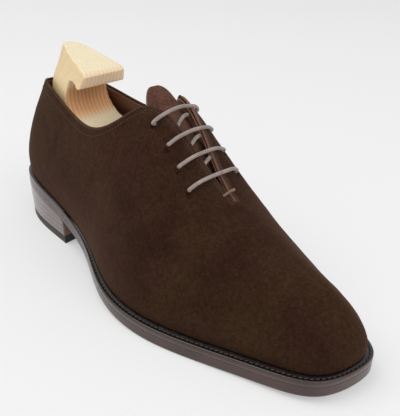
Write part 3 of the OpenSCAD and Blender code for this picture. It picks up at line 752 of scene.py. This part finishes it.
SUEDE_T, LINING_T, AIR = 1.6, 1.0, 0.1
HIDDEN_D = SUEDE_T + AIR
STIFFENER_T, STAY_T = 1.2, 0.5
WELT_TOP, WELT_LOW, SOLE_TOP = -0.6, -4.2, -4.35
HOLES = [(6.6, 0.905), (7.2, 0.855), (7.6, 0.815), (7.95, 0.76)]
HOLE_R, HOLE_SHIFT, HOLE_REACH, HOLE_SIDES = 2.0, 0.028, 7.0, 24
COLLAR_MARK = 0.15


def lining_d(t, u):
    """Depth of the lining, which leaves room for the heel counter, the toe puff and the facing stays."""
    k = from_heel(t)
    counter = (1 - smooth_step(k, 3.7, 4.6)) * (1 - smooth_step(u, 0.6, 0.84))
    puff = smooth_step(k, 9.3, 9.9)
    stay = smooth_step(k, 5.6, 6) * (1 - smooth_step(k, 8.7, 9.2)) * smooth_step(u, 0.57, 0.72)
    return HIDDEN_D + (STIFFENER_T + AIR) * np.maximum(counter, puff) + (STAY_T + AIR) * stay


def hole_cutters():
    """Round bars through the lace holes."""
    parts = []
    angle = np.linspace(0, 2 * np.pi, HOLE_SIDES, endpoint=False)
    for rib, height in HOLES:
        for t in (rib, 2 * RIBS - rib):
            centre, n = inside(t, height - HOLE_SHIFT, 0.0), unit(sample(NORMALS, t, height))
            a = unit(np.cross(n, UP))
            circle = HOLE_R * (np.cos(angle)[:, None] * a + np.sin(angle)[:, None] * np.cross(n, a))
            ends = [centre + reach * n + circle for reach in (-HOLE_REACH, HOLE_REACH)]
            parts.append(sweep(np.stack(ends)))
    return joined(*parts)


def facing_rim(t):
    """The cut edge is lighter along the facings: its own paler colour with a painted highlight, strongest
    on the medial one.
    """
    far_side_highlight = np.where(np.asarray(t) < RIBS, 1.0, 0.3)
    return COLLAR_MARK + (1 - COLLAR_MARK) * far_side_highlight * smooth_step(from_heel(t), 5.6, 6.4)


shell("upper", lambda t, u: 0 * u, SUEDE_T, SUEDE, facing_rim, hole_cutters())
shell("upper_lining", lining_d, LINING_T, LINING, lambda t: 0 * t, hole_cutters())

BINDING_IN, BINDING_UP, BINDING_R = 1.35, 0.95, 0.86
binding = inside(np.linspace(18.2, 29.8, 500), 1.0, BINDING_IN) + BINDING_UP * UP


def rolled(run, angle):
    return BINDING_R + 0.05 * np.sin(run * 2 * np.pi / 2.6) + 0 * angle


points, faces = sweep(tube(evenly(binding, 0.6), rolled, 14))
build("topline_binding", points, faces, TRIM, replaces=("topline_binding",))

# --- stitching on the upper ---------------------------------------------------------------------
STITCH = dict(pitch=2.3, length=1.75, radius=0.26, lift=0.1)


def sewn_row(a, b, below):
    """Stitches from rib a to rib b, this far below the top edge."""
    t = np.linspace(a, b, 160)
    u = below_top(t, below)
    return stitches(inside(t, u, 0.0), sample(NORMALS, t, u), **STITCH)


points, faces = joined(sewn_row(5.9, 8.92, 2.6), sewn_row(18.1, 15.08, 2.6), sewn_row(18.0, 30.0, 4.0))
build("upper_stitching", points, faces, THREAD)

TACK_X, TACK_Z, TACK_R, TACK_PITCH = 199, 76.1, 0.82, 0.62
tack_y = np.linspace(-5, 3, 60)
tack = np.stack([TACK_X - 0.04 * tack_y ** 2, tack_y, TACK_Z + 0.12 * tack_y - 0.05 * tack_y ** 2], 1)


def satin(run, angle):
    return TACK_R + 0.1 * np.sin(run * 2 * np.pi / TACK_PITCH) + 0 * angle


points, faces = sweep(tube(evenly(tack, 0.1), satin, 12))
build("bar_tack", points, faces, TACK, replaces=("bar_tack",))

# --- tongue -------------------------------------------------------------------------------------
TONGUE_U = np.array([0.64, 0.71, 0.78, 0.85, 0.92])
TONGUE_TOP, TONGUE_END, TONGUE_D, RIDGE_LIFT = 6.9, 9.0, 8.2, 3.7
TONGUE_T, GAP = 1.5, 0.15
ARCH_HALF_M, ARCH_HALF_L, ARCH_DROP, ARCH_POWER, LOBE_ROUND = 12.5, 17.5, 18.0, 3.2, 4.5
LOBE_L, LOBE_DIR, RIDGE_NORMAL = 26.0, np.array([-0.85, 0, 0.53]), np.array([0.6, 0, 0.8])


def strip(t, d):
    """A row of points across the tongue at rib t, d under the last's surface and raised on the ridge."""
    lift = RIDGE_LIFT * (1 - smooth_step(t, 7.1, 7.9))
    ridge = (skin(t, 1) + skin(2 * RIBS - t, 1)) / 2 - (d - lift) * RIDGE_NORMAL
    row = np.concatenate([inside(t, TONGUE_U, d), ridge[None], inside(2 * RIBS - t, TONGUE_U[::-1], d)])
    return smooth_path(row, 5)


def tongue_grid(d):
    """Rows across the tongue from its round end, which flattens to an arch, down to the throat."""
    first = strip(TONGUE_TOP, d)
    s = np.linspace(-1, 1, len(first))
    arch = np.stack([first[:, 0], -s * np.where(s < 0, ARCH_HALF_M, ARCH_HALF_L), 0 * s], 1)
    arch[:, 2] = first[len(s) // 2, 2] - ARCH_DROP * np.abs(s) ** ARCH_POWER
    reach = np.sqrt(1 - np.abs(s) ** LOBE_ROUND * 0.999)[:, None] * LOBE_L
    lobe = []
    for k in np.linspace(1, 0, 26)[:-1]:
        flat_share = smooth_step(k * reach / LOBE_L, 0.1, 0.8)
        lobe.append(first * (1 - flat_share) + arch * flat_share + LOBE_DIR * k * reach)
    return np.stack(lobe + [strip(t, d) for t in np.linspace(TONGUE_TOP, TONGUE_END, 40)])


def tongue_layer(name, d, thick, material):
    points, faces, marks = slab(tongue_grid(d), tongue_grid(d + thick))
    build(name, points, faces, material, replaces=(name,), marks=marks)


tongue_layer("tongue", TONGUE_D, TONGUE_T, TONGUE_SUEDE)
tongue_layer("tongue_lining", TONGUE_D + TONGUE_T + GAP, 0.8, LINING)

# --- lace: one cord threaded in straight bars, from the bottom pair to the top pair ---------------
LACE = [[174.5, 28.8, 51], [180, 28, 58], [183, 25, 63], [185, 21, 68], [185, 17, 72],
        [184, 14, 76], [186.5, 15.5, 78.5], [187.5, 16.5, 80], [188.5, 12.5, 82.5], [189.5, 6, 83.5],
        [190, -1, 84], [189.5, -8.5, 83.5], [189, -15, 82.5], [188, -21, 80], [187, -20.5, 78.5],
        [184.5, -19, 76], [180.5, -1.5, 88.5], [174, 12.5, 86],
        [176, 14.5, 88.5], [177.5, 15.5, 90], [178.5, 8.5, 93], [179.5, -1, 94], [179, -11, 93],
        [178, -19.5, 90], [176.5, -18.5, 88.5], [174, -17, 86], [170.5, -1.5, 98.5], [164.5, 12, 96],
        [166.5, 14, 98.5], [167.5, 15, 99.5], [168.5, 10, 102.5], [169.5, -1, 104], [169, -12, 102.5],
        [168, -18.5, 99.5], [166.5, -17.5, 98.5], [164.5, -16, 96], [159.5, -1.5, 108], [153, 11.5, 105.5],
        [154.3, 14.2, 107], [154.8, 15.2, 108.3], [155.8, 11.4, 111.4], [157, -1, 114], [156.5, -13, 112],
        [155, -19, 108.5], [154.5, -17.5, 107], [153, -15, 104.5],
        [157, -19.5, 97], [161, -25, 88], [166.5, -30, 77.5], [172.5, -34.2, 67]]
LACE_R, LACE_STEP, STRANDS, LACE_LAY, LACE_SIDES = 1.12, 0.36, 6, 4.2, 24


def braid(run, angle):
    """Height of the strands that run round the lace both ways."""
    left = np.cos(STRANDS * angle + run * 2 * np.pi * 3 / LACE_LAY)
    right = np.cos(STRANDS * angle - run * 2 * np.pi * 3 / LACE_LAY)
    return np.maximum(left, right)


lace_path = evenly(smooth_path(LACE), LACE_STEP)
sections = tube(lace_path, lambda run, angle: LACE_R * (0.95 + 0.07 * braid(run, angle)), LACE_SIDES)
lace_run = LACE_STEP * np.arange(len(lace_path))[:, None]
lace_angle = np.linspace(0, 2 * np.pi, LACE_SIDES, endpoint=False)[None, :]
points, faces = sweep(sections)
# marks: painted shade in the hollows between the strands, where the braid is low
build("lace", points, faces, CORD, replaces=("lace",),
      marks=np.clip(0.45 - braid(lace_run, lace_angle), 0, 1).ravel())

# --- welt, rand and outsole -----------------------------------------------------------------------
STITCH_PITCH, GROOVE_SHARE, GROOVE_DEPTH, NOTCH_DEPTH = 2.9, 0.52, 0.28, 0.16
BREAST_T, RAND_END = 3.93, 4.025


def overhang(t):
    return spline(WELT, t)


def evenly_spaced_t(a, b, step):
    """Ribs from a to b at equal steps along the welt's edge, and the length of that edge."""
    t = np.linspace(a, b, 1200)
    path = at_layer(edge(t, overhang(t)), 0)
    run = distances(path)
    return np.interp(np.linspace(0, run[-1], int(run[-1] / step)), run, t), run[-1]


def profiled(t, profile):
    """Sections along the feather line. Each profile entry gives offset and height for every t."""
    return np.stack([at_layer(edge(t, d), z) for d, z in profile], 1)


welt_t, welt_run = evenly_spaced_t(4.03, 19.97, 0.6)
wide = overhang(welt_t)
tight = wide / 5.5
run = np.linspace(0, welt_run, len(welt_t))
fade = smooth_step(from_heel(welt_t), 4.1, 4.6)
notch = NOTCH_DEPTH * fade * np.maximum(0, np.cos(run * 2 * np.pi / STITCH_PITCH)) ** 3
groove = wide * GROOVE_SHARE
groove_z = WELT_TOP - GROOVE_DEPTH * fade
welt_profile = [(wide - 0.1, WELT_LOW), (wide, WELT_LOW + 0.1), (wide + 0.05, -2.4), (wide, -1.3 - notch),
                (wide - 0.2, -0.85 - notch), (wide - 0.6 * tight, WELT_TOP - notch * 0.8),
                (groove + tight, WELT_TOP), (groove + 0.45 * tight, groove_z),
                (groove - 0.45 * tight, groove_z), (groove - tight, WELT_TOP),
                (-1.0, WELT_TOP + 0.05), (-6.5, WELT_TOP), (-6.5, WELT_LOW)]
points, faces = sweep(profiled(welt_t, welt_profile))
build("welt", points, faces, WELT_LEATHER, replaces=("welt",))

thread_t = np.linspace(4.3, 19.7, 1500)
thread_path = at_layer(edge(thread_t, overhang(thread_t) * GROOVE_SHARE), WELT_TOP - 0.16)
points, faces = stitches(thread_path, np.tile(UP, (len(thread_t), 1)), STITCH_PITCH, 2.2, 0.42, 0.05, 0.25)
build("welt_thread", points, faces, WELT_THREAD, replaces=("welt_thread",))

rand_t = np.linspace(2 * RIBS - RAND_END, 2 * RIBS + RAND_END, 260)
wide = overhang(rand_t)
rand_profile = [(wide - 0.05, WELT_LOW), (wide, WELT_LOW + 0.12), (wide, -1.3), (wide - 0.15, -0.85),
                (wide - 0.5, WELT_TOP), (-7, WELT_TOP), (-7, WELT_LOW)]
points, faces = sweep(profiled(rand_t, rand_profile))
build("heel_rand", points, faces, WELT_LEATHER, replaces=("heel_rand",))

# inset from the outline and height of each row of the outsole's side, from the underside to the top
SOLE_ROWS_LOW = [(0.9, 0.0), (0.28, 0.22), (0.0, 0.85), (0.0, 1.1)]
SOLE_ROWS_HIGH = [(0.0, 0.4), (0.0, 0.1), (0.08, 0.0)]
SOLE_BEVEL, SOLE_COLUMNS = 0.12, 760


def outsole_rows(t):
    """Rows round the outsole's side, with its lower edge rounded in front of the heel."""
    outline = edge(t, overhang(t))
    low, high = ground(outline[:, 0]), feather(outline[:, 0]) + SOLE_TOP
    front = smooth_step(from_heel(t), 3.6, 4.3)
    soft = front * np.minimum(1, (high - low) / 6)
    rows = [(inset * (front + SOLE_BEVEL), low + rise * (soft + SOLE_BEVEL))
            for inset, rise in SOLE_ROWS_LOW]
    rows += [(inset + 0 * t, high - drop) for inset, drop in SOLE_ROWS_HIGH]
    return np.stack([np.concatenate([edge(t, overhang(t) - d), z[:, None]], 1) for d, z in rows])


sole_t = (np.arange(SOLE_COLUMNS) + 0.5) * 2 * RIBS / SOLE_COLUMNS
sections = outsole_rows(sole_t)
ids = np.arange(sections.shape[0] * SOLE_COLUMNS).reshape(sections.shape[:2])
half = np.arange(SOLE_COLUMNS // 2 - 1)
cap = np.stack([half, half + 1, SOLE_COLUMNS - 2 - half, SOLE_COLUMNS - 1 - half], 1)
faces = quad_list(wrap(ids, 1)) + ids[0][cap].tolist() + ids[-1][cap][:, ::-1].tolist()
build("outsole", sections.reshape(-1, 3), faces, EDGE, replaces=("outsole",))

# --- heel: the layers' sides run on from one another in one slope ---------------------------------
# share of a layer's height, and of its bevel, for each row of the layer's side
HEEL_ROWS = [(0.0, 1.0), (0.03, 0.0), (0.97, 0.0), (1.0, 1.0)]
TOP_PIECE_T, LIFT_T, LIFT_GAP, LIFT_STEP, BREAST_HOLLOW = 6.0, 4.1, 0.05, 0.3, 2.0
LAYERS, THINNEST, LIFT_BEVEL = 5, 0.12, 0.03


def heel_outline(inset):
    """Round the back of the heel and along its hollow breast."""
    t = np.linspace(-BREAST_T, BREAST_T, 220)
    side = edge(t % (2 * RIBS), overhang(t % (2 * RIBS)) - inset)
    s = np.linspace(1, -1, 42)[1:-1]
    x = side[-1, 0] - BREAST_HOLLOW * (1 - s * s)
    y = np.where(s > 0, s * side[-1, 1], -s * side[0, 1])
    return np.concatenate([side, np.stack([x, y], 1)])


def heel_layer(name, order, low, high, soft, material):
    """A layer of the heel: order 0 is the top piece on the ground. high may follow the outsole."""
    rows = []
    for share, bevel in HEEL_ROWS:
        outline = heel_outline((LAYERS + 0.5 - order - share) * LIFT_STEP + bevel * soft)
        top = np.maximum(high(outline[:, 0]), low + THINNEST)
        rows.append(np.concatenate([outline, (low + (top - low) * share)[:, None]], 1))
    points, faces = sweep(np.stack(rows))
    build(name, points, faces, material, replaces=(name,))


def flat(z):
    return lambda x: z + 0 * x


def lift_z(n):
    """Height of the lower face of lift n."""
    return TOP_PIECE_T + LIFT_GAP + (n - 1) * (LIFT_T + LIFT_GAP)


heel_layer("top_piece", 0, 0, flat(TOP_PIECE_T), 0.22, RUBBER)
for order in (1, 2, 3):
    low = lift_z(order)
    heel_layer(f"heel_lift_{order}", order, low, flat(low + LIFT_T), LIFT_BEVEL, HEEL)
heel_layer("heel_lift_4", 4, lift_z(4), lambda x: ground(x) - 0.15, LIFT_BEVEL, HEEL)

# --- shoe tree ------------------------------------------------------------------------------------
HINGE_X, HINGE_Z, KNUCKLE_R, PIN_R, PLATE_T = 112.0, 46.0, 15.0, 3.0, 4.0
COLLAR_GAP, BLOCK_END, SCOOP_R = 4.6, 4.6, 20.0
KNUCKLE_HALF, BLOCK_HALF, SLOT_HALF = 18, 40, PLATE_T / 2 + 0.3
SLOT_BACK, SLOT_FRONT, SLOT_TOP = HINGE_X - 12, HINGE_X + 48, 120
HANDLE_BACK, HANDLE_L, HANDLE_HALF, HANDLE_FLARE = 44, 46, 5.5, 8
# height, and how far the section has changed from the collar's outline to the handle's
BLOCK_LEVELS = [(30, 0), (60, 0), (86, 0), (94, 0.03), (101, 0.1), (108, 0.26), (116, 0.55), (132, 1)]


def arc(x, z, r, a, b, n):
    """n + 1 points on an arc round x, z from angle a to angle b."""
    g = np.radians(np.linspace(a, b, n + 1))
    return np.stack([x + r * np.cos(g), z + r * np.sin(g)], 1).tolist()


def across(outline, half):
    """Points and faces of a side outline extruded to both sides of the middle."""
    p = np.asarray(outline, float)
    return sweep(np.stack([np.stack([p[:, 0], y + 0 * p[:, 0], p[:, 1]], 1) for y in (-half, half)]))


def collar(t):
    """Plan outline of the block, a gap inside the topline."""
    s = t % (2 * RIBS)
    n = unit(np.cross(skin(s, 1) - skin(s, 0.96), skin(s + 0.02, 0.98) - skin(s - 0.02, 0.98)))[..., :2]
    return skin(s, 1)[..., :2] - COLLAR_GAP * unit(n)


def handle(t):
    """Plan outline of the hook handle, narrow at its back and flaring to its front."""
    k = np.abs(t) / BLOCK_END
    half = HANDLE_HALF * k ** 0.35 + HANDLE_FLARE * k
    return np.stack([HANDLE_BACK + HANDLE_L * k ** 1.7, np.sign(t) * half], -1)


block_t = np.linspace(-BLOCK_END, BLOCK_END, 121)
levels = evenly(smooth_path([[z, k, 0] for z, k in BLOCK_LEVELS], 10), 1.2)
sections = []
for z, k, _ in levels:
    outline = collar(block_t) * (1 - k) + handle(block_t) * k
    sections.append(np.concatenate([outline, z + 0 * block_t[:, None]], 1))
slot_side = [[SLOT_BACK, 0], [SLOT_FRONT, 0], [SLOT_FRONT, SLOT_TOP], [SLOT_BACK, SLOT_TOP]]
block_side = ([[10, 47], [10, 140], [40, 130], [50, 129], [83, 119.5], [85, 117], [81.5, 109], [78, 108]]
              + arc(83.5, 101, SCOOP_R, 150, 258, 30) + [[98, 80], [104, 75]]
              + arc(HINGE_X, HINGE_Z, KNUCKLE_R - 0.5, 130, 250, 16)
              + [[80, 37.5], [52, 42.5], [26, 45.5]])
points, faces = sweep(np.stack(sections))
block = build("tree_heel_block", points, faces, BEECH, "tree_heel", ("tree_heel_block",))
knuckle, bore = arc(HINGE_X, HINGE_Z, KNUCKLE_R, 0, 352, 44), arc(HINGE_X, HINGE_Z, PIN_R, 0, 345, 23)
combine(block, helper("profile", *across(block_side, BLOCK_HALF)), "INTERSECT")
combine(block, helper("knuckle", *across(knuckle, KNUCKLE_HALF)), "UNION")
combine(block, helper("slot", *across(slot_side, SLOT_HALF)), "DIFFERENCE")
combine(block, helper("bore", *across(bore, BLOCK_HALF)), "DIFFERENCE")


def sanded(piece, voxel, passes):
    """Remeshes a wooden piece finely and rounds its edges, as sanding does."""
    remesh = piece.modifiers.new("remesh", "REMESH")
    remesh.mode = "VOXEL"
    remesh.voxel_size = voxel
    remesh.use_smooth_shade = True
    smooth = piece.modifiers.new("smooth", "SMOOTH")
    smooth.factor = 0.5
    smooth.iterations = passes


sanded(block, 0.0007, 5)
bake(block)
sanded(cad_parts["tree_forepart"], 0.001, 6)

# --- pieces that keep the CAD model's shape --------------------------------------------------------
KEPT = {"heel_counter": VEG, "toe_puff": VEG, "facing_stays": VEG, "hidden_eyelets": BRASS, "aglets": CORD,
        "insole": VEG, "insole_rib": CANVAS, "sock_lining": LINING, "cork_filler": CORK, "shank": STEEL,
        "heel_nails": BRASS, "tree_forepart": BEECH, "tree_hinge_plate": STEEL, "tree_hinge_pin": STEEL,
        "tree_plate_screws": BRASS}
for name, material in KEPT.items():
    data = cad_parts[name].data
    data.materials.clear()
    data.materials.append(material)

# --- studio -----------------------------------------------------------------------------------------
FLOOR, FLOOR_GLOW, WORLD_LIGHT = 6.0, 0.37, 0.62
# name, width, power, azimuth and elevation in degrees, and distance
LIGHTS = [("key", 1.6, 18, -40, 62, 2.0), ("fill", 1.4, 7, 100, 40, 2.0), ("front", 1.4, 11, 62, 42, 2.2)]


def make_floor():
    mesh = bpy.data.meshes.new("floor")
    corners = [(-FLOOR, -FLOOR, 0), (FLOOR, -FLOOR, 0), (FLOOR, FLOOR, 0), (-FLOOR, FLOOR, 0)]
    mesh.from_pydata(corners, [], [(0, 1, 2, 3)])
    s = Shader("floor", roughness=0.9, specular_ior_level=0.1)
    paper = s.noise(700, 3)
    s.bumps((paper, 0.00005, 0.2))
    paint = s.mix(s.ramp(paper, 0.3, 0.7), (0.44, 0.44, 0.44), (0.46, 0.46, 0.46))
    s.plug(s.surface, "Emission Color", (FLOOR_GLOW, FLOOR_GLOW, FLOOR_GLOW, 1))
    s.plug(s.surface, "Emission Strength", 1.0)
    mesh.materials.append(s.finish(paint))
    floor = bpy.data.objects.new("floor", mesh)
    bpy.context.scene.collection.objects.link(floor)


def make_light(name, size, power, azimuth, elevation, distance):
    data = bpy.data.lights.new(name, "AREA")
    data.shape = "DISK"
    data.size = size
    data.energy = power
    light = bpy.data.objects.new(name, data)
    a, e = math.radians(azimuth), math.radians(elevation)
    away = Vector((math.sin(a) * math.cos(e), -math.cos(a) * math.cos(e), math.sin(e)))
    light.location = away * distance + Vector((0, 0, 0.05))
    light.rotation_mode = "QUATERNION"
    light.rotation_quaternion = away.to_track_quat("Z", "Y")
    bpy.context.scene.collection.objects.link(light)


make_floor()
for light in LIGHTS:
    make_light(*light)
world = bpy.data.worlds.new("studio")
world.use_nodes = True
sky = world.node_tree.nodes["Background"].inputs
sky["Color"].default_value = (1, 1, 1, 1)
sky["Strength"].default_value = WORLD_LIGHT
bpy.context.scene.world = world
